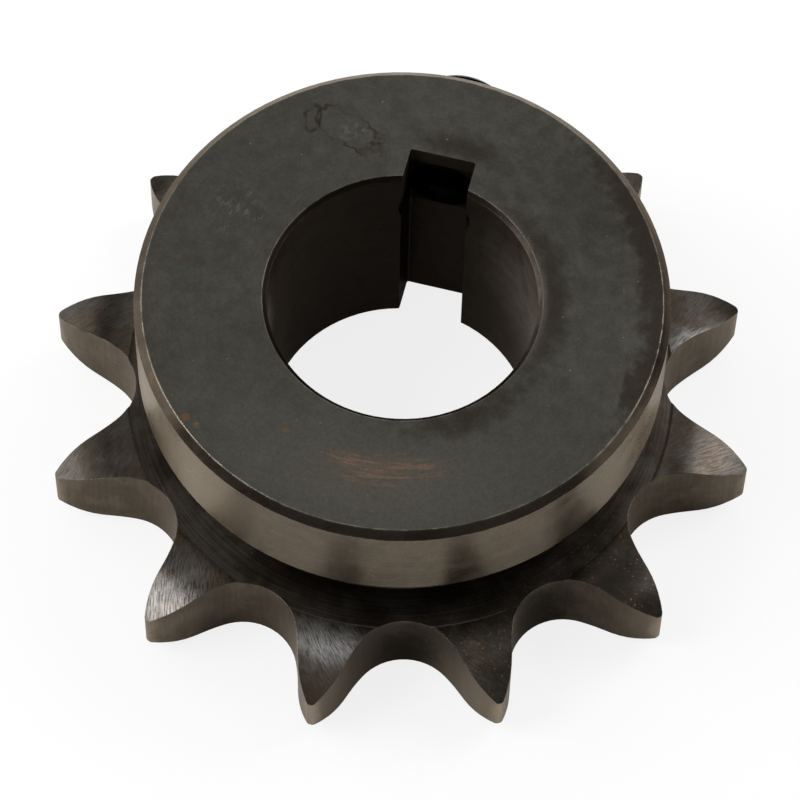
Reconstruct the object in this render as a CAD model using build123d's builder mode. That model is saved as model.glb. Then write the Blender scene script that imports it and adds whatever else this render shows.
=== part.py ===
from build123d import *
import os
from math import acos, asin, degrees, isclose, radians, sin, tan

# A finished-bore sprocket for roller chain: a toothed plate with a hub on one side, cut from one steel
# blank, and the set screw that holds it on its key. All lengths are in millimetres.
# +Z runs up along the bore, from the plate's back face at z = 0 to the end of the hub.
# The keyway, the set screw and the middle of one tooth lie along +Y.

# Chain
chain_pitch = 15.875
roller_diameter = 10.16
tooth_count = 12

# Tooth form. The chain standard gives its curves in roller diameters.
seating_share = 0.5025          # radius of the seating curve, where the roller lies
working_share = 1.3025          # radius of the working curve, where the roller comes in and goes out
flat_share = 0.0986             # straight length between the working curve and the topping curve
topping_share = 1.024           # radius of the topping curve, which rounds the tooth towards its tip
seating_play = 0.038            # added to the radii of the seating and working curves
working_sweep = 9.8             # angle that the working curve turns through, in degrees
tip_share = 0.6                 # how far the teeth reach out, in the standard's rule for the outside
tip_rounding = 0.45             # corners of a tooth's narrow tip

# Toothed plate
plate_thickness = 8.71
bevel_reach = 7.94              # how far in from the tips the curved side bevels begin
bevel_depth = 2.15              # what each bevel takes off a side at the tips
recess_depth = 0.25             # turned step in the plate's face round the hub

# Hub
hub_diameter = 50.3
hub_rim_width = 10.59           # full-width end of the hub, above the groove
groove_width = 6.1              # groove that lets the chain's side plates pass
groove_depth = 3.85             # from the hub's wall down to the neck
groove_corner = 0.8             # slope left in the groove's corners by the turning tool
hub_end_chamfer = 0.75
hub_edge_break = 0.2

# Bore and keyway
bore_diameter = 25.4
bore_chamfer = 0.45
keyway_width = 6.35
keyway_depth = 3.1              # from the top of the bore's circle to the keyway's floor
keyway_corner = 0.2

# Set screw, with its thread drawn as a plain cylinder between the crests and the roots
screw_diameter = 7.94
screw_thread_pitch = 1.41
plain_thread_share = 0.78       # what the plain diameter is under the full one, in thread pitches
screw_length = 7.94
screw_recess = 2.4              # from the keyway's floor to the screw's point
screw_play = 0.05               # between the screw and its hole, across the diameter
screw_head_chamfer = 0.5
socket_width = 3.97             # across the flats
socket_depth = 3.6
socket_drill_depth = 0.9        # cone left by the drill under the socket
cup_diameter = 4.2
cup_depth = 1.0
hole_mouth = 0.65               # countersink round the tapped hole, measured outwards

overrun = 2.0                   # how far cutting shapes reach past what they cut
tolerance = 0.001

# Worked out from the sizes above
half_step = 180 / tooth_count
pitch_radius = chain_pitch / (2 * sin(radians(half_step)))
tip_radius = chain_pitch * (tip_share + 1 / tan(radians(half_step))) / 2
seating_radius = seating_share * roller_diameter + seating_play
working_radius = working_share * roller_diameter + seating_play
topping_radius = topping_share * roller_diameter
flat_length = flat_share * roller_diameter
seating_sweep = 90 - (35 + 60 / tooth_count)    # the standard's angle, turned from the gap's bottom
root_radius = pitch_radius - seating_radius

bevel_foot = tip_radius - bevel_reach
bevel_radius = (bevel_reach**2 + bevel_depth**2) / (2 * bevel_depth)
bevel_sweep = degrees(asin(bevel_reach / bevel_radius))
recess_floor = plate_thickness - recess_depth
recess_radius = bevel_foot - recess_depth

hub_radius = hub_diameter / 2
neck_radius = hub_radius - groove_depth
groove_top = plate_thickness + groove_width
hub_end = groove_top + hub_rim_width

bore_radius = bore_diameter / 2
keyway_floor = bore_radius + keyway_depth

screw_radius = (screw_diameter - plain_thread_share * screw_thread_pitch) / 2
hole_radius = screw_radius + screw_play / 2
screw_height = groove_top + hub_rim_width / 2
screw_point = keyway_floor + screw_recess
screw_seat = Plane((0, screw_point, screw_height), x_dir=(1, 0, 0), z_dir=(0, 1, 0))

standing = (Align.CENTER, Align.CENTER, Align.MIN)
hanging = (Align.CENTER, Align.CENTER, Align.MAX)


def angle_at_centre(centre, radius, reach):
    """Angle at an arc's centre, from the sprocket's axis to the arc's point that is reach from the axis."""
    distance = centre.length
    return degrees(acos((distance**2 + radius**2 - reach**2) / (2 * distance * radius)))


def rings(part, radius):
    """The part's round edges of one radius, the lowest first."""
    circles = part.edges().filter_by(GeomType.CIRCLE)
    return circles.filter_by(lambda edge: isclose(edge.radius, radius, abs_tol=tolerance)).sort_by(Axis.Z)


# Gap between two teeth, centred on +Y: seating curve, working curve, short straight and topping curve,
# which runs on past the tips, and the same mirrored
with BuildSketch() as tooth_gap:
    with BuildLine():
        seat = JernArc((0, root_radius), (1, 0), seating_radius, seating_sweep)
        work = JernArc(seat @ 1, seat % 1, working_radius, working_sweep)
        flat = PolarLine(work @ 1, flat_length, direction=work % 1)
        topping_centre = flat @ 1 + (flat % 1).rotate(Axis.Z, -90) * topping_radius
        far_angle = angle_at_centre(topping_centre, topping_radius, tip_radius + overrun)
        near_angle = angle_at_centre(topping_centre, topping_radius, (flat @ 1).length)
        topping = JernArc(flat @ 1, flat % 1, topping_radius, near_angle - far_angle)
        mouth = topping @ 1
        Polyline(mouth, (mouth.X, tip_radius + overrun), (0, tip_radius + overrun))
        mirror(about=Plane.YZ)
    make_face()

# Outline of the toothed plate, with a tooth on +Y. The tips are rounded as far as their width allows.
with BuildSketch() as tooth_outline:
    Circle(tip_radius)
    with PolarLocations(0, tooth_count, start_angle=half_step):
        add(tooth_gap.sketch, mode=Mode.SUBTRACT)
    tip_width = min(edge.length for edge in tooth_outline.edges())
    tip_corners = tooth_outline.vertices().group_by(lambda vertex: round(Vector(vertex).length, 2))[-1]
    fillet(tip_corners, radius=min(tip_rounding, tip_width))

with BuildPart() as sprocket:
    with BuildSketch():
        add(tooth_outline.sketch)
    extrude(amount=plate_thickness)

    # Curved bevels on both sides of the teeth, so that they enter between the chain's plates
    with BuildSketch(Plane.XZ):
        with BuildLine():
            bevel = JernArc((bevel_foot, 0), (1, 0), bevel_radius, bevel_sweep)
            Polyline(
                bevel @ 1,
                (tip_radius + overrun, bevel_depth),
                (tip_radius + overrun, -overrun),
                (bevel_foot, -overrun),
                bevel @ 0,
            )
        make_face()
        mirror(about=Plane.XZ.offset(-plate_thickness / 2))
    revolve(axis=Axis.Z, mode=Mode.SUBTRACT)

    # Shallow recess turned into the hub side, out to the foot of the bevels
    with BuildSketch(Plane.XZ):
        with BuildLine():
            Polyline(
                (0, recess_floor),
                (recess_radius, recess_floor),
                (recess_radius + overrun, recess_floor + overrun),
                (0, recess_floor + overrun),
                close=True,
            )
        make_face()
    revolve(axis=Axis.Z, mode=Mode.SUBTRACT)

    # Hub: a neck at the bottom of the groove, and the full rim above it
    with BuildSketch(Plane.XY.offset(recess_floor)):
        Circle(neck_radius)
    extrude(amount=groove_top - recess_floor)
    with BuildSketch(Plane.XY.offset(groove_top)):
        Circle(hub_radius)
    extrude(amount=hub_rim_width)
    chamfer(rings(sprocket, neck_radius), groove_corner)
    chamfer(rings(sprocket, hub_radius)[-1], hub_end_chamfer)
    chamfer(rings(sprocket, hub_radius)[0], hub_edge_break)

    # Bore, chamfered at both ends, and the keyway along its whole length
    with BuildSketch():
        Circle(bore_radius)
    extrude(amount=hub_end, mode=Mode.SUBTRACT)
    chamfer(rings(sprocket, bore_radius), bore_chamfer)
    with BuildSketch() as keyway:
        Rectangle(keyway_width, keyway_floor, align=(Align.CENTER, Align.MIN))
        fillet(keyway.vertices().group_by(Axis.Y)[-1], keyway_corner)
    extrude(amount=hub_end, mode=Mode.SUBTRACT)

    # Tapped hole for the set screw, drilled through the hub's wall and the keyway's floor into the bore
    with Locations(screw_seat.offset(hub_radius - screw_point)):
        CounterSinkHole(hole_radius, hole_radius + hole_mouth, depth=hub_radius, counter_sink_angle=90)

# Set screw: cup point towards the key, hexagon socket outwards with the drill's cone at its bottom
with BuildPart() as set_screw:
    with BuildSketch(screw_seat):
        Circle(screw_radius)
    extrude(amount=screw_length)
    point_edge, head_edge = rings(set_screw, screw_radius).sort_by(Axis.Y)
    chamfer(point_edge, screw_radius - cup_diameter / 2)
    chamfer(head_edge, screw_head_chamfer)
    with Locations(screw_seat):
        Cone(cup_diameter / 2, 0, cup_depth, align=standing, mode=Mode.SUBTRACT)
    with BuildSketch(screw_seat.offset(screw_length)):
        RegularPolygon(socket_width / 2, 6, major_radius=False)
    extrude(amount=-socket_depth, mode=Mode.SUBTRACT)
    with Locations(screw_seat.offset(screw_length - socket_depth)):
        Cone(0, socket_width / 2, socket_drill_depth, align=hanging, mode=Mode.SUBTRACT)

sprocket.part.label = "sprocket"
set_screw.part.label = "set_screw"

os.makedirs("parts", exist_ok=True)
export_step(sprocket.part, "parts/sprocket.step")
export_step(set_screw.part, "parts/set_screw.step")
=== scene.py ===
"""Finished-bore roller-chain sprocket: surface finishes, screw threads, studio and camera.

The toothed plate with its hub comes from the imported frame, and this script gives each of its cut
surfaces its own finish. It also cuts the fine threads that the frame leaves plain, on the set screw
and in its tapped hole, and sets up the floor, the light and the camera. The frame's axes hold
throughout: +Z up the bore, +Y through the keyway. Sizes in fields are in millimetres unless their
comment says otherwise, and MM turns them into Blender's metres.
"""

import logging
import math
from collections.abc import Iterable
from dataclasses import dataclass, field
from enum import Enum
from typing import Any

import bpy
from mathutils import Matrix, Vector


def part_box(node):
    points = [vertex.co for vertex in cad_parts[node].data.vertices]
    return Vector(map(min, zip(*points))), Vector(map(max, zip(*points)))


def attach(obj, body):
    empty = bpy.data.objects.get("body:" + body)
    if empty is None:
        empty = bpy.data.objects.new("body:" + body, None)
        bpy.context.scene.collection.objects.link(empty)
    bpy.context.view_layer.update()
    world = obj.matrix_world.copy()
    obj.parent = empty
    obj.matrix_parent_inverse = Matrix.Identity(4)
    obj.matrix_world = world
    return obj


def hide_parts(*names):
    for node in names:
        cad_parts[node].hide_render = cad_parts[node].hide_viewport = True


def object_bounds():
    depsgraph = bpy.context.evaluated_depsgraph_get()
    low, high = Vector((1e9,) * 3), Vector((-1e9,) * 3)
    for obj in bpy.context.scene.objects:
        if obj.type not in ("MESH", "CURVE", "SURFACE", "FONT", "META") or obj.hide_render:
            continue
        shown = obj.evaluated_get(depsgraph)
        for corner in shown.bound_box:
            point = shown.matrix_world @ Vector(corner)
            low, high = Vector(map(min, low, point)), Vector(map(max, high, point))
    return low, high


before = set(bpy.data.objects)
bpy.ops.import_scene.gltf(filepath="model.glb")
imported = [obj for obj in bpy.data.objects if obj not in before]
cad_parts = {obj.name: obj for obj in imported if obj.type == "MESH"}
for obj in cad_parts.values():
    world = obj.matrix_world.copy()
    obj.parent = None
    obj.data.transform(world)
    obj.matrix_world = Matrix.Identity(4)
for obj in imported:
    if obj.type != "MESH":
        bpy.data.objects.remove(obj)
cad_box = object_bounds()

log = logging.getLogger("sprocket_scene")

Tree = bpy.types.NodeTree
Source = Any             # what a node's input takes: a node, a socket or a plain value
Corner = tuple[float, float, float]

MM = 0.001
HUB_END = 25.4           # height of the hub's end face, in millimetres
THREAD_PITCH = 1.41      # of the set screw and its hole, in millimetres
NEAR = 0.01              # slack in telling places apart, in millimetres
AFAR = 60.0              # radius past every tooth, in millimetres
ALL_ROUND = 3600.0       # sweep in degrees, so wide that the angle does not count
CREASE = 25.0            # degrees between two faces from which their edge stays sharp

# Settings and inputs that many nodes share
TIMES = {"operation": "MULTIPLY"}
SCALED = {"operation": "SCALE"}
COLORS = {"data_type": "RGBA"}
SMOOTH = {"interpolation_type": "SMOOTHSTEP"}
ABOUT_BORE = {"rotation_type": "Z_AXIS"}
FRACTAL = {"Detail": 3.0, "Roughness": 0.6}
WHITE = (1.0, 1.0, 1.0, 1.0)


def linear(hex_code: str) -> tuple[float, float, float, float]:
    """Turn an sRGB hex colour into the linear colour that shaders take.

    Args:
        hex_code: Colour such as "#474640".

    Returns:
        Red, green, blue and an alpha of 1.
    """
    channels = [int(hex_code[place : place + 2], 16) / 255 for place in (1, 3, 5)]
    red, green, blue = (c / 12.92 if c <= 0.04045 else ((c + 0.055) / 1.055) ** 2.4 for c in channels)
    return red, green, blue, 1.0


def add_node(
    tree: Tree,
    kind: str,
    settings: dict[str, Any] | None = None,
    links: dict[str | int, Source] | None = None,
) -> bpy.types.Node:
    """Add a node to a tree, set it up and fill its inputs.

    Args:
        tree: Node tree that gets the node.
        kind: Blender's name for the node's type, without the "ShaderNode" that all of them begin with.
        settings: The node's own properties and their values.
        links: Inputs by name or number. A node gives its first output, a socket is linked as it is,
            and anything else becomes the input's value.

    Returns:
        The new node.
    """
    node = tree.nodes.new(f"ShaderNode{kind}")
    for name, value in (settings or {}).items():
        setattr(node, name, value)
    for key, value in (links or {}).items():
        if isinstance(key, int):
            socket = node.inputs[key]
        else:
            socket = next(s for s in node.inputs if s.name == key and s.enabled)
        if isinstance(value, bpy.types.Node):
            value = next(s for s in value.outputs if s.enabled)
        if isinstance(value, bpy.types.NodeSocket):
            tree.links.new(value, socket)
        else:
            socket.default_value = value
    return node


def new_material(name: str) -> bpy.types.Material:
    """Make a material whose node tree is still empty.

    Args:
        name: Name of the material.

    Returns:
        The material.
    """
    material = bpy.data.materials.new(name)
    material.use_nodes = True
    material.node_tree.nodes.clear()
    return material


def new_object(name: str, data: bpy.types.ID) -> bpy.types.Object:
    """Make an object and link it to the scene.

    Args:
        name: Name of the object.
        data: Its mesh, lamp or camera.

    Returns:
        The object.
    """
    thing = bpy.data.objects.new(name, data)
    bpy.context.scene.collection.objects.link(thing)
    return thing


def overlap(tree: Tree, masks: Iterable[Source]) -> Source:
    """Keep only what lies under all of some masks.

    Args:
        tree: Node tree that gets the nodes.
        masks: Nodes or sockets from 0 to 1.

    Returns:
        The node that gives the shared mask, or the one mask.
    """
    shared, *others = masks
    for mask in others:
        shared = add_node(tree, "Math", TIMES, {0: shared, 1: mask})
    return shared


@dataclass(frozen=True)
class Ramp:
    """Change of one value into another, eased at both ends."""

    start: float
    end: float
    low: float = 0.0                 # result at the start
    high: float = 1.0                # result at the end

    def of(self, value: Source) -> dict[str | int, Source]:
        """Give the inputs, by number, with which a Map Range node turns a value."""
        return {0: value, 1: self.start, 2: self.end, 3: self.low, 4: self.high}


class ToolPath(Enum):
    """How the tool that cut a surface ran over it, and so which way its marks lie."""

    ROUND = "rings about the bore, left by the lathe"
    SWIRLED = "spirals out over the teeth, left by the bevelling cutter"
    ALONG = "lines along the bore, left by the hob and the broach"


class Facing(Enum):
    """Which way a surface faces: least and greatest upward share of its normal."""

    UP = (0.98, 1.1)
    DOWN = (-1.1, -0.98)
    FRONT_BEVEL = (0.5, 0.9999)
    BACK_BEVEL = (-0.9999, -0.5)
    SLOPE = (0.5, 0.9)
    UPPER = (0.5, 1.1)
    SIDE = (-0.5, 0.5)
    SIDE_OR_SLOPE = (-0.8, 0.8)


@dataclass(frozen=True)
class Place:
    """Where a shaded point lies on the sprocket: sockets in millimetres and radians."""

    point: Source
    level: Source                    # the point brought down to the back face
    radius: Source
    height: Source
    polar: Source                    # radius, angle from the side opposite the seam, height
    normal: Source
    facing: Source                   # upward share of the normal, from -1 to 1
    seam: float                      # where the angle about the bore jumps, in degrees

    @classmethod
    def read(cls, tree: Tree, seam: float) -> "Place":
        """Build the nodes that find the place.

        Args:
            tree: Node tree of the material.
            seam: Where the angle jumps, in degrees about the bore, which falls in a gap between teeth.

        Returns:
            The place.
        """
        coordinates = add_node(tree, "TexCoord").outputs
        shrink = {0: coordinates["Object"], "Scale": 1 / MM}
        point = add_node(tree, "VectorMath", SCALED, shrink)
        level = add_node(tree, "VectorMath", TIMES, {0: point, 1: (1, 1, 0)})
        radius = add_node(tree, "VectorMath", {"operation": "LENGTH"}, {0: level}).outputs["Value"]
        height = add_node(tree, "SeparateXYZ", links={0: point}).outputs["Z"]
        turn = {"Vector": level, "Angle": math.radians(180 - seam)}
        axes = add_node(
            tree, "SeparateXYZ", links={0: add_node(tree, "VectorRotate", ABOUT_BORE, turn)}
        ).outputs
        angle = add_node(tree, "Math", {"operation": "ARCTAN2"}, {0: axes["Y"], 1: axes["X"]})
        polar = add_node(tree, "CombineXYZ", links={"X": radius, "Y": angle, "Z": height})
        facing = add_node(tree, "SeparateXYZ", links={0: coordinates["Normal"]}).outputs["Z"]
        return cls(point, level, radius, height, polar, coordinates["Normal"], facing, seam)


@dataclass(frozen=True)
class Region:
    """Stretch of the sprocket's surface, told by where it lies and which way it faces."""

    radius: tuple[float, float] | None = None
    height: tuple[float, float] | None = None
    facing: Facing | None = None

    def mask(self, tree: Tree, place: Place) -> Source:
        """Build the nodes that are 1 inside the region and 0 outside it.

        Args:
            tree: Node tree of the material.
            place: Where the shaded point lies.

        Returns:
            The node that gives the mask.
        """
        facing = self.facing.value if self.facing else None
        limits = ((place.radius, self.radius), (place.height, self.height), (place.facing, facing))
        return overlap(
            tree,
            [
                add_node(
                    tree,
                    "Math",
                    {"operation": "COMPARE"},
                    {0: measured, 1: (span[0] + span[1]) / 2, 2: (span[1] - span[0]) / 2},
                )
                for measured, span in limits
                if span
            ],
        )


@dataclass(frozen=True)
class CutSurface:
    """Finish of one group of cut surfaces under the black oxide."""

    name: str
    region: Region | None
    path: ToolPath
    color: str                       # of the oxide
    thin_color: str                  # of the oxide in the clouds where it is thinner
    worn_color: str                  # of the crests that are rubbed towards bare steel
    roughness: float
    spread: float = 0.08             # how far the roughness varies
    wear: float = 0.0                # share of the crests that is rubbed
    depth: float = 0.001             # of the tool's marks
    streak: float = 0.15             # how far the tone follows the tool's marks


@dataclass(frozen=True)
class Spot:
    """Soft-edged patch of the sprocket's surface, round in polar coordinates about the bore."""

    radius: float
    width: float                     # half of its size outwards
    angle: float                     # degrees from +X
    sweep: float                     # half of its size round the bore, in degrees
    height: float = HUB_END
    rise: float = 0.6                # half of its size along the bore

    def reach(self, tree: Tree, place: Place) -> Source:
        """Build the nodes that measure how far out in the spot a point lies.

        Args:
            tree: Node tree of the material.
            place: Where the shaded point lies.

        Returns:
            The socket that gives 0 at the spot's middle and 1 at its rim.
        """
        angle = math.radians((self.angle - place.seam) % 360 - 180)
        spot = {
            "Vector": place.polar,
            "Location": (self.radius, angle, self.height),
            "Scale": (self.width, math.radians(self.sweep), self.rise),
        }
        offset = add_node(tree, "Mapping", {"vector_type": "TEXTURE"}, spot)
        return add_node(tree, "VectorMath", {"operation": "LENGTH"}, {0: offset}).outputs["Value"]


@dataclass(frozen=True)
class Mark:
    """Stain, bloom of rust, handled patch or scuff, or a patch of painted shade, sheen, reflection or
    highlight.
    """

    name: str
    color: str
    spot: Spot
    strength: float = 0.7
    softness: float = 0.5            # share of its size over which its rim fades
    unevenness: float = 1.0          # how far its rim wanders
    grain_across: float = 1.5
    grain_along: float = 1.5
    cover: float = 1.0               # share of it that is covered, 1 for an unbroken film
    metal: float = 1.0               # how metallic it is, less where dust or rust lies on the oxide
    path: ToolPath | None = None     # the tool's marks that it follows, if it lies on their crests
    region: Region | None = None     # where it stops, if the spot reaches over an edge


@dataclass(frozen=True)
class Grains:
    """Scattered specks: dust, or pits with a bright or rusty bottom."""

    name: str
    color: str
    spacing: float
    size: float
    share: float                     # of the places that hold a speck
    strength: float = 0.9
    spot: Spot | None = None         # where they lie, or everywhere


@dataclass(frozen=True)
class Trace:
    """Thin closed line on the hub's end face: the rim of a dried drop, or a worn corner."""

    name: str
    color: str
    x: float
    y: float
    half_length: float
    half_width: float
    turn: float                      # degrees
    line: float                      # its thickness
    strength: float = 0.6
    wander: float = 0.5              # how far it strays
    height: float = HUB_END


@dataclass(frozen=True)
class BlackOxideSteel:
    """Black-oxided carbon steel, turned, bevelled, hobbed, bored and broached from one blank.

    The oxide is a thin dark film on metal, so every surface keeps a metal's gloss under a dark colour:
    it is black where nothing bright is mirrored in it, and pale at a grazing angle. Each tool leaves
    its own marks, which stretch that gloss across them.
    """

    name: str = "black_oxide_carbon_steel_machined"
    metallic: float = 1.0
    stretch: float = 0.6             # of the gloss across the marks
    grazing: str = "#fff6ec"         # tint of what is mirrored at a low angle
    seam: float = 195.0              # where the angle about the bore jumps, in a gap between teeth
    round_pitch: float = 0.2         # the lathe's feed, about double the real one so that it shows
    round_length: float = 9.0
    swirl_pitch: float = 0.16        # cutter marks on the bevels, as coarse as they need to be to show
    swirl_length: float = 1.5
    swirl_slant: float = 50.0        # degrees between the bevels' marks and the rings about the bore
    swirl_stray: float = 0.4         # how far the marks stray sideways
    along_pitch: float = 0.3
    along_length: float = 6.0
    grain: float = 0.25              # crystals of the oxide, drawn coarser than they are
    grain_depth: float = 0.0007
    grain_tone: float = 0.1          # how far the tone varies with the grain
    cloud: float = 4.0               # slow drift of the oxide's thickness
    drift: float = 1.6               # blotches in it
    drift_tone: float = 0.1
    edge_radius: float = 0.09        # of broken edges
    edge_samples: int = 4
    edge_wear: float = 0.8           # how much of the broken edges is rubbed
    least_wear: float = 0.1          # share of that which is found all along them
    edge_color: str = "#8f887c"
    wear_from: float = 20.0          # radius outside which corners are rubbed
    least_trace: float = 0.3         # share of a thin line that is left where it fades
    trace_slack: float = 0.1         # height about the end face that a thin line keeps to

    # Stretches of a noise or a measure over which something begins
    noise_span: tuple[float, float] = (0.3, 0.7)
    thin_span: tuple[float, float] = (0.4, 0.62)
    dull_span: tuple[float, float] = (0.35, 0.65)
    crest_span: tuple[float, float] = (0.66, 0.84)
    edge_span: tuple[float, float] = (0.99, 0.93)        # cosine between the true and the rounded normal
    rubbed_span: tuple[float, float] = (0.35, 0.65)
    trace_span: tuple[float, float] = (0.4, 0.55)
    spot_span: tuple[float, float] = (0.6, 1.1)          # of the reach in a spot of specks
    crest_ease: float = 0.3
    patch_ease: float = 0.1

    def tool_marks(self, tree: Tree, place: Place) -> dict[ToolPath, tuple[Source, Source]]:
        """Build the marks that each way of cutting leaves.

        Args:
            tree: Node tree of the material.
            place: Where the shaded point lies.

        Returns:
            For each tool path, a noise from 0 to 1 that is drawn out along the marks, and the
            direction of the marks.
        """
        slant = math.radians(self.swirl_slant)
        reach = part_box("sprocket")[1][0] / MM

        slow = (1 / self.round_length, 1 / self.round_length, 0)
        drift = add_node(tree, "VectorMath", TIMES, {0: place.point, 1: slow})
        feed = add_node(tree, "Math", {"operation": "ADD"}, {0: place.radius, 1: place.height})
        turns = add_node(tree, "Math", TIMES, {0: feed, 1: 1 / self.round_pitch})
        turned = add_node(tree, "CombineXYZ", links={"Z": turns})
        rings = add_node(tree, "VectorMath", {"operation": "ADD"}, {0: drift, 1: turned})
        quarter = {"Vector": place.level, "Angle": math.pi / 2}
        ring_way = add_node(tree, "VectorRotate", ABOUT_BORE, quarter)

        squeeze = (1 / self.along_pitch, 1 / self.along_pitch, 1 / self.along_length)
        lines = add_node(tree, "VectorMath", TIMES, {0: place.point, 1: squeeze})
        line_way = add_node(tree, "CombineXYZ", links={"Z": 1.0})

        # In the logarithm of the radius and the angle, straight lines are spirals about the bore
        powers = {0: place.radius, 1: math.e}
        log_radius = add_node(tree, "Math", {"operation": "LOGARITHM"}, powers)
        angle = add_node(tree, "SeparateXYZ", links={0: place.polar}).outputs["Y"]
        unrolled = add_node(tree, "CombineXYZ", links={"X": log_radius, "Y": angle})
        waver = add_node(
            tree, "TexNoise", links={"Vector": place.point, "Scale": 1 / self.cloud, "Detail": 1.0}
        )
        sideways = {0: waver.outputs["Color"], "Scale": 2 * self.swirl_stray / reach}
        stray = add_node(tree, "VectorMath", SCALED, sideways)
        strayed = add_node(tree, "VectorMath", {"operation": "ADD"}, {0: unrolled, 1: stray})
        lean = {"Vector": strayed, "Angle": slant - math.pi / 2}
        leaned = add_node(tree, "VectorRotate", ABOUT_BORE, lean)
        draw = (reach / self.swirl_length, reach / self.swirl_pitch, 0)
        spirals = add_node(tree, "VectorMath", TIMES, {0: leaned, 1: draw})
        slanted = {"Vector": place.level, "Angle": math.pi / 2 - slant}
        spiral_way = add_node(tree, "VectorRotate", ABOUT_BORE, slanted)

        paths = (
            (ToolPath.ROUND, rings, ring_way),
            (ToolPath.SWIRLED, spirals, spiral_way),
            (ToolPath.ALONG, lines, line_way),
        )
        return {
            path: (add_node(tree, "TexNoise", links={"Vector": at, "Scale": 1.0, **FRACTAL}), way)
            for path, at, way in paths
        }

    def build(
        self,
        surfaces: tuple[CutSurface, ...],
        marks: tuple[Mark, ...],
        traces: tuple[Trace, ...],
        grains: tuple[Grains, ...],
    ) -> bpy.types.Material:
        """Build the material.

        Args:
            surfaces: The cut surfaces. The first lies under all the others and needs no region.
            marks: Stains, rust, scuffs, and patches of painted shade, sheen, reflection and highlight.
            traces: Thin lines on the end face.
            grains: Dust and pits.

        Returns:
            The material.
        """
        material = new_material(self.name)
        tree = material.node_tree
        place = Place.read(tree, self.seam)
        tools = self.tool_marks(tree, place)
        cloud, grain, drift = (
            add_node(tree, "TexNoise", links={"Vector": place.point, "Scale": 1 / size, **FRACTAL})
            for size in (self.cloud, self.grain, self.drift)
        )
        color, roughness, height, way = self.lay_surfaces(tree, place, surfaces, tools, cloud)

        color = self.vary(tree, color, drift, self.drift_tone)
        metallic: Source = self.metallic
        for mark in marks:
            crests = tools[mark.path][0] if mark.path else None
            cover = self.cover(tree, place, mark, drift, crests)
            color = add_node(
                tree, "Mix", COLORS, {"Factor": cover, "A": color, "B": linear(mark.color)}
            )
            if mark.metal < self.metallic:
                metallic = add_node(tree, "Mix", None, {"Factor": cover, "A": metallic, "B": mark.metal})
        for trace in traces:
            color = self.lay_trace(tree, place, trace, drift, color)
        for kind in grains:
            color = self.scatter(tree, place, kind, color)

        radius = {"Radius": self.edge_radius * MM}
        rounded = add_node(tree, "Bevel", {"samples": self.edge_samples}, radius)
        worn = self.worn_edges(tree, place, rounded, drift)
        color = add_node(tree, "Mix", COLORS, {"Factor": worn, "A": color, "B": linear(self.edge_color)})
        color = self.vary(tree, color, grain, self.grain_tone)

        fine = add_node(tree, "Math", TIMES, {0: grain, 1: self.grain_depth})
        height = add_node(tree, "Math", {"operation": "ADD"}, {0: height, 1: fine})
        relief = {"Strength": 1.0, "Distance": MM, "Height": height, "Normal": rounded}
        across = {0: place.normal, 1: way}
        shader = add_node(
            tree,
            "BsdfPrincipled",
            links={
                "Base Color": color,
                "Metallic": metallic,
                "Roughness": roughness,
                "Specular Tint": linear(self.grazing),
                "Anisotropic": self.stretch,
                "Normal": add_node(tree, "Bump", links=relief),
                "Tangent": add_node(tree, "VectorMath", {"operation": "CROSS_PRODUCT"}, across),
            },
        )
        add_node(tree, "OutputMaterial", links={"Surface": shader})
        return material

    def vary(self, tree: Tree, color: Source, noise: Source, share: float) -> Source:
        """Make a colour lighter and darker with a noise.

        Args:
            tree: Node tree of the material.
            color: The colour.
            noise: The noise that it follows.
            share: How far its tone goes either way.

        Returns:
            The node that gives the new colour.
        """
        tone = Ramp(*self.noise_span, 1 - share, 1 + share).of(noise)
        scale = add_node(tree, "MapRange", SMOOTH, tone)
        return add_node(tree, "VectorMath", SCALED, {0: color, "Scale": scale})

    def lay_surfaces(
        self,
        tree: Tree,
        place: Place,
        surfaces: tuple[CutSurface, ...],
        tools: dict[ToolPath, tuple[Source, Source]],
        cloud: Source,
    ) -> tuple[Source, Source, Source, Source]:
        """Lay the finishes of the cut surfaces, each over those before it.

        Args:
            tree: Node tree of the material.
            place: Where the shaded point lies.
            surfaces: The cut surfaces.
            tools: Noise and direction of the marks that each way of cutting leaves.
            cloud: Noise of the oxide's thickness.

        Returns:
            The nodes that give colour, roughness, height of the marks and their direction.
        """
        thin = add_node(tree, "MapRange", SMOOTH, Ramp(*self.thin_span).of(cloud))
        laid: tuple[Source, ...] = ()
        for surface in surfaces:
            noise, way = tools[surface.path]
            colors = {"Factor": thin, "A": linear(surface.color), "B": linear(surface.thin_color)}
            tone = self.vary(tree, add_node(tree, "Mix", COLORS, colors), noise, surface.streak)
            if surface.wear:
                crests = Ramp(*self.crest_span, 0.0, surface.wear).of(noise)
                rubbed = add_node(tree, "MapRange", SMOOTH, crests)
                bare = {"Factor": rubbed, "A": tone, "B": linear(surface.worn_color)}
                tone = add_node(tree, "Mix", COLORS, bare)
            half = surface.spread / 2
            gloss = Ramp(*self.dull_span, surface.roughness - half, surface.roughness + half).of(cloud)
            dull = add_node(tree, "MapRange", SMOOTH, gloss)
            relief = add_node(tree, "Math", TIMES, {0: noise, 1: surface.depth})
            layer = (tone, dull, relief, way)
            if surface.region:
                mask = surface.region.mask(tree, place)
                laid = tuple(
                    add_node(
                        tree, "Mix", {"data_type": kind}, {"Factor": mask, "A": under, "B": over}
                    )
                    for kind, under, over in zip(("RGBA", "FLOAT", "FLOAT", "VECTOR"), laid, layer)
                )
            else:
                laid = layer
        return laid

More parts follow.
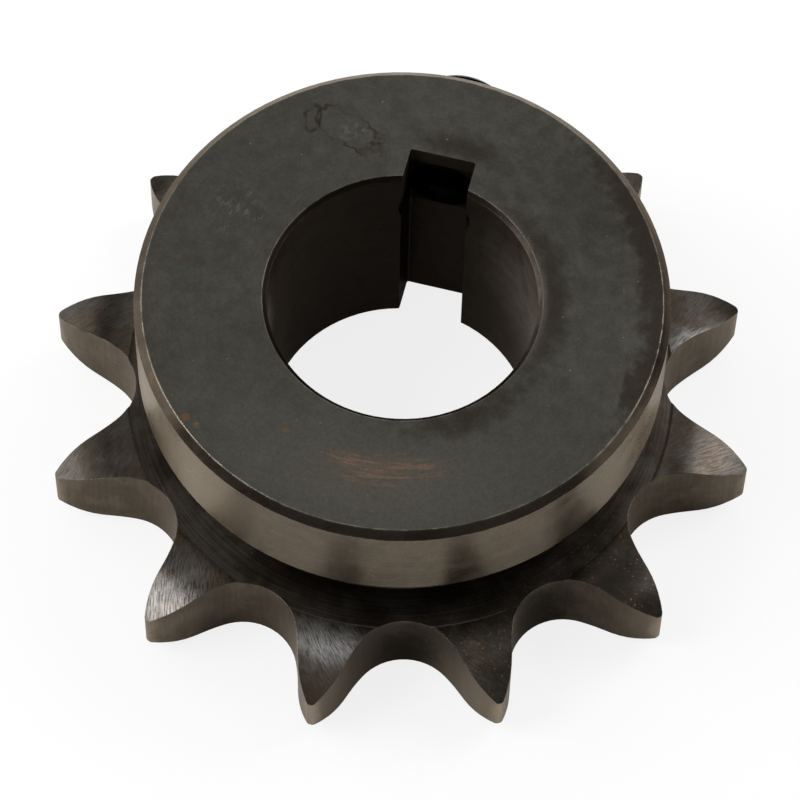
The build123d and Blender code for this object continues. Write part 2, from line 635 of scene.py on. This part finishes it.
    def worn_edges(self, tree: Tree, place: Place, rounded: Source, drift: Source) -> Source:
        """Find where the outer edges are rubbed bright.

        Args:
            tree: Node tree of the material.
            place: Where the shaded point lies.
            rounded: Normal of the surface with its edges rounded.
            drift: Noise that makes the wear uneven.

        Returns:
            The node that gives the share that is rubbed.
        """
        normals = {0: rounded, 1: place.normal}
        agreement = add_node(tree, "VectorMath", {"operation": "DOT_PRODUCT"}, normals)
        beyond = {0: place.radius, 1: self.wear_from}
        ramps = (
            Ramp(*self.edge_span, 0.0, self.edge_wear).of(agreement.outputs["Value"]),
            Ramp(*self.rubbed_span, self.least_wear).of(drift),
        )
        shares = [add_node(tree, "MapRange", SMOOTH, ramp) for ramp in ramps]
        outside = add_node(tree, "Math", {"operation": "GREATER_THAN"}, beyond)
        return overlap(tree, [*shares, outside])

    def scatter(self, tree: Tree, place: Place, kind: Grains, under: Source) -> Source:
        """Scatter specks over a colour.

        Args:
            tree: Node tree of the material.
            place: Where the shaded point lies.
            kind: The specks.
            under: The colour that they lie on.

        Returns:
            The node that gives the new colour.
        """
        cells = add_node(
            tree, "TexVoronoi", links={"Vector": place.point, "Scale": 1 / kind.spacing}
        ).outputs
        size = kind.size / kind.spacing
        chance = add_node(tree, "SeparateColor", links={0: cells["Color"]}).outputs[0]
        ramps = [
            Ramp(size / 2, size, 1.0, 0.0).of(cells["Distance"]),
            Ramp(1 - kind.share, 1.0, 0.0, kind.strength).of(chance),
        ]
        if kind.spot:
            ramps.append(Ramp(*self.spot_span, 1.0, 0.0).of(kind.spot.reach(tree, place)))
        held = overlap(tree, [add_node(tree, "MapRange", SMOOTH, ramp) for ramp in ramps])
        return add_node(tree, "Mix", COLORS, {"Factor": held, "A": under, "B": linear(kind.color)})

    def cover(self, tree: Tree, place: Place, mark: Mark, drift: Source, crests: Source | None) -> Source:
        """Find how far a mark covers the surface.

        Args:
            tree: Node tree of the material.
            place: Where the shaded point lies.
            mark: The mark.
            drift: Noise that makes its rim uneven.
            crests: Noise of the tool's marks that it follows, or None.

        Returns:
            The node that gives the share that is covered.
        """
        wandering = {0: drift, 1: mark.unevenness, 2: mark.spot.reach(tree, place)}
        uneven = add_node(tree, "Math", {"operation": "MULTIPLY_ADD"}, wandering)
        rim = 1 + mark.unevenness / 2
        fade = Ramp(rim - mark.softness, rim, mark.strength, 0.0).of(uneven)
        masks = [add_node(tree, "MapRange", SMOOTH, fade)]
        if mark.region:
            masks.append(mark.region.mask(tree, place))
        low, high = self.noise_span
        start = high - mark.cover * (high - low)
        if crests:
            broken = Ramp(start, start + self.crest_ease).of(crests)
            masks.append(add_node(tree, "MapRange", SMOOTH, broken))
        elif mark.cover < 1:
            scale = (1 / mark.grain_across, mark.spot.radius / mark.grain_along, 1 / mark.grain_across)
            grains = add_node(tree, "VectorMath", TIMES, {0: place.polar, 1: scale})
            noise = add_node(tree, "TexNoise", links={"Vector": grains, "Scale": 1.0, **FRACTAL})
            broken = Ramp(start, start + self.patch_ease).of(noise)
            masks.append(add_node(tree, "MapRange", SMOOTH, broken))
        return overlap(tree, masks)

    def lay_trace(self, tree: Tree, place: Place, trace: Trace, drift: Source, under: Source) -> Source:
        """Lay one thin line over a colour.

        Args:
            tree: Node tree of the material.
            place: Where the shaded point lies.
            trace: The line to lay.
            drift: Noise that makes the line fade.
            under: The colour that it lies on.

        Returns:
            The node that gives the new colour.
        """
        noise = add_node(tree, "TexNoise", links={"Vector": place.point, "Scale": 1 / self.drift})
        stray = {0: noise.outputs["Color"], 1: (trace.wander, trace.wander, 0), 2: place.point}
        sway = add_node(tree, "VectorMath", {"operation": "MULTIPLY_ADD"}, stray)
        frame_of_line = {
            "Vector": sway,
            "Location": (trace.x + trace.wander / 2, trace.y + trace.wander / 2, trace.height),
            "Rotation": (0, 0, math.radians(trace.turn)),
            "Scale": (trace.half_length, trace.half_width, trace.half_length),
        }
        offset = add_node(tree, "Mapping", {"vector_type": "TEXTURE"}, frame_of_line)
        away = add_node(tree, "VectorMath", {"operation": "LENGTH"}, {0: offset}).outputs["Value"]
        beside = add_node(tree, "Math", {"operation": "SUBTRACT"}, {0: away, 1: 1.0})
        off_line = add_node(tree, "Math", {"operation": "ABSOLUTE"}, {0: beside})
        size = min(trace.half_length, trace.half_width)
        ramps = (
            Ramp(0.0, trace.line / size, trace.strength, 0.0).of(off_line),
            Ramp(*self.trace_span, self.least_trace).of(drift),
        )
        masks = [add_node(tree, "MapRange", SMOOTH, ramp) for ramp in ramps]
        on_face = Region(height=(trace.height - self.trace_slack, trace.height + self.trace_slack))
        held = overlap(tree, [*masks, on_face.mask(tree, place)])
        return add_node(tree, "Mix", COLORS, {"Factor": held, "A": under, "B": linear(trace.color)})


@dataclass(frozen=True)
class BlackOxideScrew:
    """Black-oxided alloy steel, thread rolled: a deep blue-black, smooth and slightly oily."""

    name: str = "black_oxide_alloy_steel_rolled"
    color: str = "#26262a"
    worn_color: str = "#4a4a4c"
    metallic: float = 1.0
    roughness: float = 0.32
    grain: float = 0.3
    grain_depth: float = 0.001
    worn_span: tuple[float, float] = (0.5, 0.8)          # of the grain, over which it is rubbed
    wear: float = 0.5

    def build(self) -> bpy.types.Material:
        """Build the material.

        Returns:
            The material.
        """
        material = new_material(self.name)
        tree = material.node_tree
        point = add_node(tree, "TexCoord").outputs["Object"]
        scale = {"Vector": point, "Scale": 1 / (self.grain * MM), "Detail": FRACTAL["Detail"]}
        noise = add_node(tree, "TexNoise", links=scale)
        rubbed = Ramp(*self.worn_span, 0.0, self.wear).of(noise)
        worn = add_node(tree, "MapRange", links=rubbed)
        colors = {"Factor": worn, "A": linear(self.color), "B": linear(self.worn_color)}
        relief = {"Distance": self.grain_depth * MM, "Height": noise}
        shader = add_node(
            tree,
            "BsdfPrincipled",
            links={
                "Base Color": add_node(tree, "Mix", COLORS, colors),
                "Metallic": self.metallic,
                "Roughness": self.roughness,
                "Normal": add_node(tree, "Bump", links=relief),
            },
        )
        add_node(tree, "OutputMaterial", links={"Surface": shader})
        return material


@dataclass
class Sprocket:
    """The toothed plate and its hub, which the frame carries."""

    plate: float = 8.71              # thickness
    bevel_foot: float = 26.446       # radius where the teeth's side bevels begin
    recess: float = 0.25             # turned step round the hub
    neck_radius: float = 21.3
    hub_radius: float = 25.15
    groove_top: float = 14.81
    hub_end: float = HUB_END
    hub_chamfer: float = 0.75
    edge_break: float = 0.2          # of the hub's lower edge
    bore_radius: float = 12.7
    bore_chamfer: float = 0.45
    keyway_width: float = 6.35
    keyway_depth: float = 3.1
    keyway_reach: float = 16.3       # radius that the keyway's corners stay within
    hole_radius: float = 3.445
    hole_height: float = 20.105      # of its axis
    hole_mouth: float = 1.0          # how deep its countersink goes from the hub's wall
    finish: BlackOxideSteel = field(default_factory=BlackOxideSteel)

    def surfaces(self) -> tuple[CutSurface, ...]:
        """List the finishes of the cut surfaces.

        Returns:
            The finishes, from the one that lies under all the others on.
        """
        rim = self.hub_end - self.hub_chamfer
        step = self.plate - self.recess
        turned, swirled, along = ToolPath.ROUND, ToolPath.SWIRLED, ToolPath.ALONG
        teeth = ("#443d35", "#484440", "#9a948a")
        bevels = (("bevelled_teeth", Facing.FRONT_BEVEL), ("bevelled_back", Facing.BACK_BEVEL))
        return (
            CutSurface(
                "hobbed_flanks", None,
                along, "#4f473c", "#645b4e", "#7a7061", 0.4, streak=0.13, depth=0.0008,
            ),
            CutSurface(
                "faced_end",
                Region(facing=Facing.UP, height=(self.hub_end - NEAR, self.hub_end + NEAR)),
                turned, "#464540", "#494843", "#55534c", 0.3, streak=0.03, depth=0.0003,
            ),
            CutSurface(
                "faced_back",
                Region(facing=Facing.DOWN),
                turned, "#464540", "#4d4b45", "#55534c", 0.45, streak=0.1,
            ),
            CutSurface(
                "turned_rim",
                Region(radius=(self.hub_radius - NEAR, self.hub_radius + NEAR)),
                turned, "#61584b", "#665e52", "#6e675d", 0.3, streak=0.09, depth=0.0004,
            ),
            CutSurface(
                "turned_chamfer",
                Region((self.keyway_reach, self.hub_radius - NEAR), (rim, self.hub_end - NEAR)),
                turned, "#443c33", "#4a4239", "#7d766b", 0.24, wear=0.3,
            ),
            CutSurface(
                "turned_groove",
                Region(
                    radius=(self.neck_radius - NEAR, self.bevel_foot),
                    height=(step - NEAR, self.groove_top + NEAR),
                ),
                turned, "#433c35", "#4b4640", "#6f6960", 0.36, streak=0.25, wear=0.2, depth=0.002,
            ),
            *(
                CutSurface(
                    name,
                    Region(radius=(self.bevel_foot, AFAR), facing=facing),
                    swirled, *teeth, 0.27, wear=0.3, depth=0.006, streak=0.3,
                )
                for name, facing in bevels
            ),
            CutSurface(
                "bored_wall",
                Region(radius=(0, self.keyway_reach), facing=Facing.SIDE_OR_SLOPE),
                turned, "#38302a", "#403832", "#625d57", 0.45, streak=0.15, depth=0.002,
            ),
            # Painted shade: a near-black colour inside the tapped hole and on its thread
            CutSurface(
                "tapped_hole",
                Region(
                    radius=(self.bore_radius + self.keyway_depth, self.hub_radius - self.hole_mouth),
                    height=(self.hole_height - self.hole_radius, self.hole_height + self.hole_radius),
                ),
                turned, "#17130f", "#1c1814", "#3a3631", 0.5, streak=0.1,
            ),
        )

    def marks(self) -> tuple[Mark, ...]:
        """List the stains, rust, handled patches and scuffs, and the patches of painted shade, sheen,
        reflection and highlight.

        Returns:
            The marks, from the lowest to the topmost.
        """
        # bright is the colour of the painted glints on the teeth's bevels
        brown, deep, bright = "#37312a", "#322c26", "#929190"
        bore, rim = self.bore_radius, self.hub_radius
        bevel = Region(facing=Facing.FRONT_BEVEL)
        flanks = Region((rim, AFAR), (0, self.plate), Facing.SIDE)
        wall = Region((rim - self.edge_break, AFAR), (self.groove_top, self.hub_end), Facing.SIDE)
        step = Region((self.bevel_foot - 2 * self.recess, AFAR), (0, self.plate), Facing.SLOPE)
        return (
            # Painted sheen: the near half of the end face is made lighter, where the turned face catches
            # more light
            Mark("painted_sheen_near_face", "#535049", Spot(20, 8, -86, 75), strength=0.8, softness=1, unevenness=0.4),
            Mark("film_over_keyway", deep, Spot(17.4, 2.4, 84, 24), 0.85, softness=1, unevenness=0.6),
            Mark("film_beside_bore", deep, Spot(14.2, 2.4, 16, 66), strength=0.85, softness=1),
            Mark("film_below_bore", deep, Spot(14.2, 2.3, -50, 36), strength=0.85, softness=1),
            Mark("film_far_side", brown, Spot(20.5, 5.0, 48, 30), strength=0.3, softness=0.9),
            Mark("film_at_rim", deep, Spot(24.3, 2.9, 21, 49), strength=0.85, softness=0.6),
            Mark("film_at_rim_near", deep, Spot(24.2, 2.2, -9, 9), strength=0.8, softness=0.3),
            Mark("rust_film", "#645548", Spot(18.1, 1.5, -83, 20), strength=0.55, softness=1),
            Mark(
                "rust_streaks", "#7e6250", Spot(18.4, 2.2, -82, 25), strength=0.6, softness=0.9,
                grain_across=0.26, grain_along=3.0, cover=0.55,
            ),
            Mark("rust_spot_rim", "#6e4f38", Spot(23.8, 0.5, -133, 1.3), strength=0.8),
            Mark("rust_spot_rim_small", "#6a5340", Spot(23.4, 0.4, -130, 1.2), strength=0.6),
            Mark("rust_spot_inner", "#66503e", Spot(17.8, 0.4, -113, 1.4), strength=0.6),
            Mark("rust_spot_left", "#5c4a40", Spot(21.4, 0.4, 183, 1.2), strength=0.6),
            Mark(
                "scuffs", "#66645c", Spot(18.3, 4.5, 163, 13), strength=0.5, softness=0.8,
                grain_across=0.5, grain_along=0.9, cover=0.35,
            ),
            Mark(
                "drop_bloom", "#5c5b55", Spot(18.8, 1.2, 119, 8), strength=0.6, cover=0.5,
                grain_across=0.7, grain_along=0.7,
            ),
            Mark(
                "drop_residue", "#3d352c", Spot(15.8, 1.0, 115, 4.5), strength=0.5, cover=0.7,
                grain_across=0.6, grain_along=0.6,
            ),
            # Painted shade: a near-black colour all round the bore's chamfer
            Mark(
                "painted_shade_bore_chamfer", "#1b1713", Spot(bore + 0.2, 0.5, 0, ALL_ROUND), strength=0.85,
                unevenness=0.3, region=Region(facing=Facing.SLOPE),
            ),
            Mark(
                "scuffed_bore", "#7a7166", Spot(bore, 1.5, 15, 65, height=16, rise=16), softness=1.0,
                strength=0.8, unevenness=0.5, metal=0.2,
            ),
            Mark(
                "scratched_bore", "#a0978a", Spot(bore, 1.5, 12, 45, height=15, rise=12), softness=0.9,
                strength=0.4, cover=0.3, grain_across=0.25, grain_along=1.0, metal=0.2,
            ),
            Mark(
                "scuffed_bore_left", "#9a9184", Spot(bore, 1.5, 192, 18, height=17, rise=9), softness=1.0,
                strength=0.6, cover=0.9, grain_across=1.0, grain_along=0.6, metal=0.2,
            ),
            # Rubbed crests on the bevels, made bright where the teeth glint: partly real wear, partly
            # painted highlight
            *(
                Mark(name, bright, spot, strength, 0.9, cover=cover, path=ToolPath.SWIRLED, region=bevel)
                for name, spot, strength, cover in (
                    ("rubbed_glint_tooth_far_left", Spot(33, 2.4, -150, 6, 7, 9), 0.05, 1.0),
                    ("rubbed_glint_tooth_near_left", Spot(31.2, 6.4, -119.0, 9, 7.5, 9), 0.4, 0.95),
                    ("rubbed_glint_tooth_near", Spot(28.2, 3.6, -89, 11, 8, 9), 1.0, 1.0),
                    ("rubbed_glint_tooth_right", Spot(31.5, 4.0, 1, 8, 7.5, 9), 0.05, 0.8),
                    ("rubbed_glint_tooth_far_right", Spot(29.4, 4.4, 22.5, 6, 7.5, 9), 1.0, 1.0),
                )
            ),
            Mark(
                "brown_tip_near", "#6e6255", Spot(34, 3.6, -89, 7, height=7, rise=9), strength=0.45,
                softness=1, unevenness=0.4, region=bevel,
            ),
            Mark(
                "dust_in_step", "#5c544a", Spot(26.3, 0.4, 0, ALL_ROUND, height=8.6, rise=1),
                strength=0.9, unevenness=0.3, metal=0.2, region=step,
            ),
            # Painted shade: a near-black colour low in the gaps between the near and right teeth
            Mark(
                "painted_shade_in_gaps", "#0d0a08", Spot(24.2, 3.9, -58, 52, height=3.5, rise=9),
                strength=1.0, softness=0.6, unevenness=0.4, region=flanks,
            ),
            Mark(
                "thin_oxide_flanks", "#8a7e6d", Spot(33, 5, -66, 58, height=4.3, rise=12), strength=0.5,
                softness=1, unevenness=0.5, region=flanks,
            ),
            # Painted reflection: lighter colour on the hub's wall, left and right, where it mirrors the
            # lit teeth and floor
            Mark(
                "painted_reflection_wall_left", "#978d7c", Spot(rim, 1, -134, 40, height=20, rise=14),
                strength=0.75, softness=1, unevenness=0.2, region=wall,
            ),
            Mark(
                "painted_reflection_wall_right", "#938978", Spot(rim, 1, -14, 28, height=20, rise=14),
                strength=0.85, softness=1, unevenness=0.2, region=wall,
            ),
            Mark(
                "worn_tips", "#a39784", Spot(35, 1.6, 0, ALL_ROUND, height=4.3, rise=6), strength=0.5,
                softness=0.6, unevenness=0.8, region=flanks,
            ),
            # Painted shade: a darker, less metallic colour on the upper faces of the near right teeth
            Mark(
                "painted_shade_near_teeth", "#29241e", Spot(30, 8, -40, 28, height=8, rise=9), softness=0.7,
                strength=0.85, metal=0.8, region=Region(facing=Facing.UPPER),
            ),
        )

    def grains(self) -> tuple[Grains, ...]:
        """List the specks.

        Returns:
            The dust, and the rusty pits on the near teeth.
        """
        near_teeth = Spot(28, 10, -48, 38, height=8, rise=9)
        return (
            Grains("dust", "#7d766b", 1.0, 0.09, 0.4),
            Grains("dark_pits", "#241f1a", 1.1, 0.22, 0.5, 0.7, Spot(31, 6, 0, ALL_ROUND, 4, 6)),
            Grains("rusty_pits", "#6b5a44", 0.4, 0.12, 0.8, spot=near_teeth),
        )

    def face_traces(self) -> tuple[Trace, ...]:
        """List the thin lines on the hub's end face.

        Returns:
            The rims of the dried drops and the scratches.
        """
        worn = self.hub_radius - self.hub_chamfer
        inner = self.bore_radius + self.bore_chamfer
        return (
            Trace("drop_rim", "#2f2820", -9.4, 16.3, 3.4, 1.7, -20, 0.24, strength=0.85, wander=3.0),
            Trace("small_drop_rim", "#2f2820", -13.0, 16.9, 0.8, 1.3, 0, 0.26, strength=0.85, wander=1.5),
            Trace("worn_corner", "#857f74", 0, 0, worn, worn, 0, 0.13, strength=0.6, wander=0.1),
            Trace("worn_bore_corner", "#7d766b", 0, 0, inner, inner, 0, 0.1, strength=0.4, wander=0.1),
        )

    def dress(self) -> bpy.types.Material:
        """Give the carried node its finish.

        Returns:
            The material.
        """
        material = self.finish.build(self.surfaces(), self.marks(), self.face_traces(), self.grains())
        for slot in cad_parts["sprocket"].material_slots:
            slot.material = material
        return material


@dataclass
class SetScrew:
    """Cup-point socket set screw with its thread cut, which stands for the frame's plain one."""

    major_radius: float = 3.97
    pitch: float = THREAD_PITCH
    crest_flat: float = 0.125        # in pitches
    root_flat: float = 0.25
    thread_depth: float = 0.541      # in pitches
    end_radius: float = 3.55         # of the flat at the socket's end
    cup_radius: float = 2.1
    cup_depth: float = 1.0
    socket_width: float = 3.97       # across the flats
    socket_depth: float = 3.6
    drill_depth: float = 0.9
    half_side: float = 30.0          # degrees from the middle of the socket's flat to its corner
    columns: int = 96                # a multiple of 6, so that the socket's corners fall on a column
    rows_per_pitch: int = 16
    finish: BlackOxideScrew = field(default_factory=BlackOxideScrew)

    def thread_radius(self, along: float, turn: float) -> float:
        """Radius of the thread's surface.

        Args:
            along: Distance from the screw's point.
            turn: Angle about the screw's axis, in turns.

        Returns:
            The radius, between the root and the crest.
        """
        phase = (along / self.pitch - turn) % 1
        from_crest = abs(2 * phase - 1)
        slope = (from_crest - self.crest_flat) / (1 - self.crest_flat - self.root_flat)
        return self.major_radius - self.thread_depth * self.pitch * min(max(slope, 0), 1)

    def rings(self, length: float) -> list[list[tuple[float, float]]]:
        """Work out the rings of points that the screw's skin runs through, from the cup to the socket.

        Args:
            length: Length of the screw.

        Returns:
            For each ring, the distance from the axis and from the screw's point at every column.
        """
        turns = [column / self.columns for column in range(self.columns)]
        rows = round(length / self.pitch * self.rows_per_pitch)
        rings = [[(self.cup_radius, 0.0)] * self.columns]
        for row in range(rows + 1):
            along = length * row / rows
            limit = min(self.cup_radius + along, self.end_radius + length - along)
            rings.append([(min(self.thread_radius(along, turn), limit), along) for turn in turns])
        flat, half = self.socket_width / 2, self.half_side
        off_flats = [(360 * turn + half) % (2 * half) - half for turn in turns]
        hexagon = [flat / math.cos(math.radians(off_flat)) for off_flat in off_flats]
        floor = length - self.socket_depth
        rings += [[(reach, along) for reach in hexagon] for along in (length, floor)]
        rings.append([(flat, floor)] * self.columns)
        return rings

    def build(self) -> bpy.types.Object:
        """Build the screw's mesh where the frame's screw stands.

        Returns:
            The screw.
        """
        low, high = (Vector(corner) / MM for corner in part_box("set_screw"))
        centre, count = (low + high) / 2, self.columns
        rings = self.rings(high.y - low.y)
        verts: list[Corner] = []
        for ring in rings:
            for column, (reach, along) in enumerate(ring):
                angle = math.tau * column / count
                x, z = centre.x + reach * math.sin(angle), centre.z + reach * math.cos(angle)
                verts.append((x * MM, (low.y + along) * MM, z * MM))
        cup, drill = len(verts), len(verts) + 1
        for along in (low.y + self.cup_depth, high.y - self.socket_depth - self.drill_depth):
            verts.append((centre.x * MM, along * MM, centre.z * MM))
        last = (len(rings) - 1) * count
        pairs = [(column, (column + 1) % count) for column in range(count)]
        faces: list[tuple[int, ...]] = [
            (ring + column, ring + count + column, ring + count + beside, ring + beside)
            for ring in range(0, last, count)
            for column, beside in pairs
        ]
        for column, beside in pairs:
            faces += [(cup, column, beside), (drill, last + beside, last + column)]
        screw = make_mesh("set_screw_threaded", verts, faces, self.finish.build())
        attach(screw, "root")
        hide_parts("set_screw")
        return screw


@dataclass
class HoleThread:
    """Thread of the tapped hole, which the frame leaves plain: helical ridges along its wall."""

    sprocket: Sprocket
    pitch: float = THREAD_PITCH
    base_radius: float = 3.46        # a little way into the hub
    crest_radius: float = 3.24
    base_half_width: float = 0.44    # in pitches
    start: float = 12.4              # distance from the bore's axis
    end: float = 18.1
    run_in: float = 0.15             # length over which a ridge grows, in pitches
    steps: int = 48                  # in a turn

    def crest(self, along: float, angle: float) -> float:
        """Radius of the ridge's crest.

        Args:
            along: Distance from the bore's axis.
            angle: Angle about the hole's axis, in radians from +Z.

        Returns:
            The radius. It grows past the base where the keyway leaves no wall to carry the thread.
        """
        keyway_floor = self.sprocket.bore_radius + self.sprocket.keyway_depth
        room = along - self.base_half_width * self.pitch - keyway_floor
        if room > 0:
            grown = min(room / (self.run_in * self.pitch), 1)
            return self.base_radius - (self.base_radius - self.crest_radius) * grown
        keyway_side = self.sprocket.keyway_width / 2 / max(abs(math.sin(angle)), NEAR)
        return max(self.crest_radius, keyway_side)

    def build(self, material: bpy.types.Material) -> bpy.types.Object:
        """Build the ridges.

        Args:
            material: Finish of the sprocket.

        Returns:
            The ridges, as one piece that rides on the sprocket.
        """
        half, middle = self.base_half_width * self.pitch, self.sprocket.hole_height
        verts: list[Corner] = []
        faces: list[tuple[int, ...]] = []
        carried = False
        total = round((self.end - half - self.start) / self.pitch * self.steps)
        for step in range(total + 1):
            along = self.start + step * self.pitch / self.steps
            angle = math.tau * step / self.steps
            crest = self.crest(along, angle)
            if crest < self.base_radius and step < total:
                profile = ((self.base_radius, -half), (crest, 0.0), (self.base_radius, half))
                for radius, aside in profile:
                    x, z = radius * math.sin(angle), middle + radius * math.cos(angle)
                    verts.append((x * MM, (along + aside) * MM, z * MM))
                low, top, high = range(len(verts) - 3, len(verts))
                if carried:
                    faces.append((low - 3, top - 3, top, low))
                    faces.append((top - 3, high - 3, high, top))
                    faces.append((high - 3, low - 3, low, high))
                else:
                    faces.append((low, high, top))
                carried = True
            elif carried:
                faces.append((len(verts) - 3, len(verts) - 2, len(verts) - 1))
                carried = False
        thread = make_mesh("hole_thread", verts, faces, material)
        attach(thread, "root")
        return thread


def make_mesh(
    name: str,
    verts: list[Corner],
    faces: list[tuple[int, ...]],
    material: bpy.types.Material,
) -> bpy.types.Object:
    """Make a smooth-shaded mesh object whose sharp corners stay sharp.

    Args:
        name: Name of the piece.
        verts: Its points, in metres.
        faces: Its faces, as numbers of points.
        material: Its finish.

    Returns:
        The object, linked to the scene.
    """
    mesh = bpy.data.meshes.new(name)
    mesh.from_pydata(verts, [], faces)
    mesh.validate()
    mesh.polygons.foreach_set("use_smooth", [True] * len(mesh.polygons))
    mesh.set_sharp_from_angle(angle=math.radians(CREASE))
    mesh.materials.append(material)
    return new_object(name, mesh)


def direction(azimuth: float, elevation: float) -> Vector:
    """Unit vector at an azimuth about +Z from +X and an elevation above the floor, both in degrees."""
    turn, rise = math.radians(azimuth), math.radians(elevation)
    return Vector((math.cos(turn) * math.cos(rise), math.sin(turn) * math.cos(rise), math.sin(rise)))


@dataclass(frozen=True)
class StudioCamera:
    """Long-lens product camera, placed by where it looks and from how far."""

    aim: Vector = field(default_factory=lambda: Vector((2.453, -10.698, HUB_END)) * MM)
    distance: float = 426.862 * MM
    azimuth: float = 12.861          # degrees about +Z from -Y
    elevation: float = 61.856
    roll: float = 1.492
    lens: float = 208.2
    sensor: float = 36.0
    clip_start: float = 0.01         # metres

    def build(self) -> bpy.types.Object:
        """Make the camera and make it the scene's own.

        Returns:
            The camera object.
        """
        data = bpy.data.cameras.new("studio_camera")
        data.lens = self.lens
        data.sensor_width = self.sensor
        data.clip_start = self.clip_start
        camera = new_object("studio_camera", data)
        back = direction(self.azimuth - 90, self.elevation)
        turn = (-back).to_track_quat("-Z", "Y").to_matrix()
        lean = Matrix.Rotation(math.radians(self.roll), 3, "Z")
        camera.matrix_world = Matrix.Translation(self.aim + back * self.distance) @ (turn @ lean).to_4x4()
        bpy.context.scene.camera = camera
        return camera


@dataclass(frozen=True)
class SoftBox:
    """Lamp behind a white cloth, aimed at the object. All of its sizes are in metres."""

    name: str
    azimuth: float
    elevation: float
    width: float
    height: float
    radiance: float
    distance: float = 0.7

    def build(self) -> bpy.types.Object:
        """Make the lamp.

        Returns:
            The lamp object.
        """
        data = bpy.data.lights.new(self.name, "AREA")
        data.shape = "RECTANGLE"
        data.size = self.width
        data.size_y = self.height
        data.energy = self.radiance * math.pi * self.width * self.height
        lamp = new_object(self.name, data)
        away = direction(self.azimuth, self.elevation)
        lamp.matrix_world = (
            Matrix.Translation(away * self.distance) @ away.to_track_quat("Z", "Y").to_matrix().to_4x4()
        )
        return lamp


@dataclass(frozen=True)
class MattePaper:
    """Uncoated white paper: it mirrors nothing, and takes a soft shadow."""

    name: str = "white_paper_matte"
    color: str = "#f2f2f2"
    glow: float = 1.03               # radiance of its own white
    seen_lift: float = 0.8           # share of that white that the camera sees, whatever its shadow
    mirror_lift: float = 0.02        # the same for what the metal mirrors

    def build(self) -> bpy.types.Material:
        """Build the material.

        Returns:
            The material.
        """
        material = new_material(self.name)
        tree = material.node_tree
        paper = add_node(tree, "BsdfDiffuse", links={"Color": linear(self.color)})
        glow = add_node(tree, "Emission", links={"Color": WHITE, "Strength": self.glow})
        path = add_node(tree, "LightPath").outputs
        either = {0: path["Is Glossy Ray"], 1: path["Is Transmission Ray"]}
        mirrored = add_node(tree, "Math", {"operation": "MAXIMUM"}, either)
        lifts = ((path["Is Camera Ray"], self.seen_lift), (mirrored, self.mirror_lift))
        shares = [add_node(tree, "Math", TIMES, {0: ray, 1: lift}) for ray, lift in lifts]
        lift = add_node(tree, "Math", {"operation": "MAXIMUM"}, dict(enumerate(shares)))
        surface = add_node(tree, "MixShader", links={0: lift, 1: paper, 2: glow})
        add_node(tree, "OutputMaterial", links={"Surface": surface})
        return material


@dataclass(frozen=True)
class Studio:
    """White tabletop in a light tent that is bright behind the object and dim on the near side."""

    paper: MattePaper = field(default_factory=MattePaper)
    floor_reach: float = 2.0         # metres
    bright: float = 0.95             # radiance of the tent behind and overhead
    dim: float = 0.22                # and on the near side
    tent_azimuth: float = 103.0      # of the bright panel that runs up behind and overhead
    tent_elevation: float = 60.0
    tent_start: float = 0.3          # cosine at which the tent begins to brighten along the panel
    tent_end: float = 0.9
    panel_edge: float = 0.05         # cosine at which the panel begins to darken towards its sides
    panel_end: float = 0.33
    boxes: tuple[SoftBox, ...] = (
        SoftBox("left_softbox", -157, 48, 0.3, 0.42, 5.4),
        SoftBox("right_softbox", 41, 44, 0.3, 0.42, 4.5),
        SoftBox("back_softbox", 103, 24, 0.6, 0.25, 2.0),
        SoftBox("left_scrim", 170, 34, 0.5, 0.36, 2.2),
        SoftBox("left_card", 180, 9, 0.6, 0.26, 1.5),
        SoftBox("right_card", 5, 13, 0.4, 0.3, 1.0),
    )

    def build_world(self) -> bpy.types.World:
        """Build the tent: a slow gradient for the light, and plain white for the camera.

        Returns:
            The world.
        """
        world = bpy.data.worlds.new("light_tent")
        bpy.context.scene.world = world
        world.use_nodes = True
        tree = world.node_tree
        tree.nodes.clear()
        ray = add_node(tree, "TexCoord").outputs["Generated"]
        ways = (direction(self.tent_azimuth, self.tent_elevation), direction(self.tent_azimuth - 90, 0))
        towards, side = (
            add_node(tree, "VectorMath", {"operation": "DOT_PRODUCT"}, {0: ray, 1: way}).outputs["Value"]
            for way in ways
        )
        aside = add_node(tree, "Math", {"operation": "ABSOLUTE"}, {0: side})
        ramps = (
            Ramp(self.tent_start, self.tent_end, 0.0, self.bright - self.dim).of(towards),
            Ramp(self.panel_edge, self.panel_end, 1.0, 0.0).of(aside),
        )
        panel = overlap(tree, [add_node(tree, "MapRange", SMOOTH, ramp) for ramp in ramps])
        level = add_node(tree, "Math", {"operation": "ADD"}, {0: panel, 1: self.dim})
        seen = add_node(tree, "LightPath").outputs["Is Camera Ray"]
        strength = add_node(tree, "Mix", links={"Factor": seen, "A": level, "B": 1.0})
        backdrop = add_node(tree, "Background", links={"Color": WHITE, "Strength": strength})
        add_node(tree, "OutputWorld", links={"Surface": backdrop})
        return world

    def build_floor(self) -> bpy.types.Object:
        """Build the white tabletop, which keeps the object's shadow.

        Returns:
            The floor object.
        """
        reach = self.floor_reach
        corners = [(-reach, -reach, 0.0), (reach, -reach, 0.0), (reach, reach, 0.0), (-reach, reach, 0.0)]
        floor = make_mesh("floor", corners, [(0, 1, 2, 3)], self.paper.build())
        floor.location.z = cad_box[0][2]
        return floor

    def build(self) -> None:
        """Build the tent, the floor and the lamps."""
        self.build_world()
        self.build_floor()
        for box in self.boxes:
            box.build()
        bpy.context.scene.view_settings.view_transform = "Standard"


def main() -> None:
    """Build the scene, piece by piece."""
    StudioCamera().build()
    Studio().build()
    sprocket = Sprocket()
    steel = sprocket.dress()
    log.info("sprocket: %s", steel.name)
    log.info("hole thread: %d faces", len(HoleThread(sprocket).build(steel).data.polygons))
    log.info("set screw: %d faces", len(SetScrew().build().data.polygons))


if __name__ == "__main__":
    logging.basicConfig(level=logging.INFO)
    main()
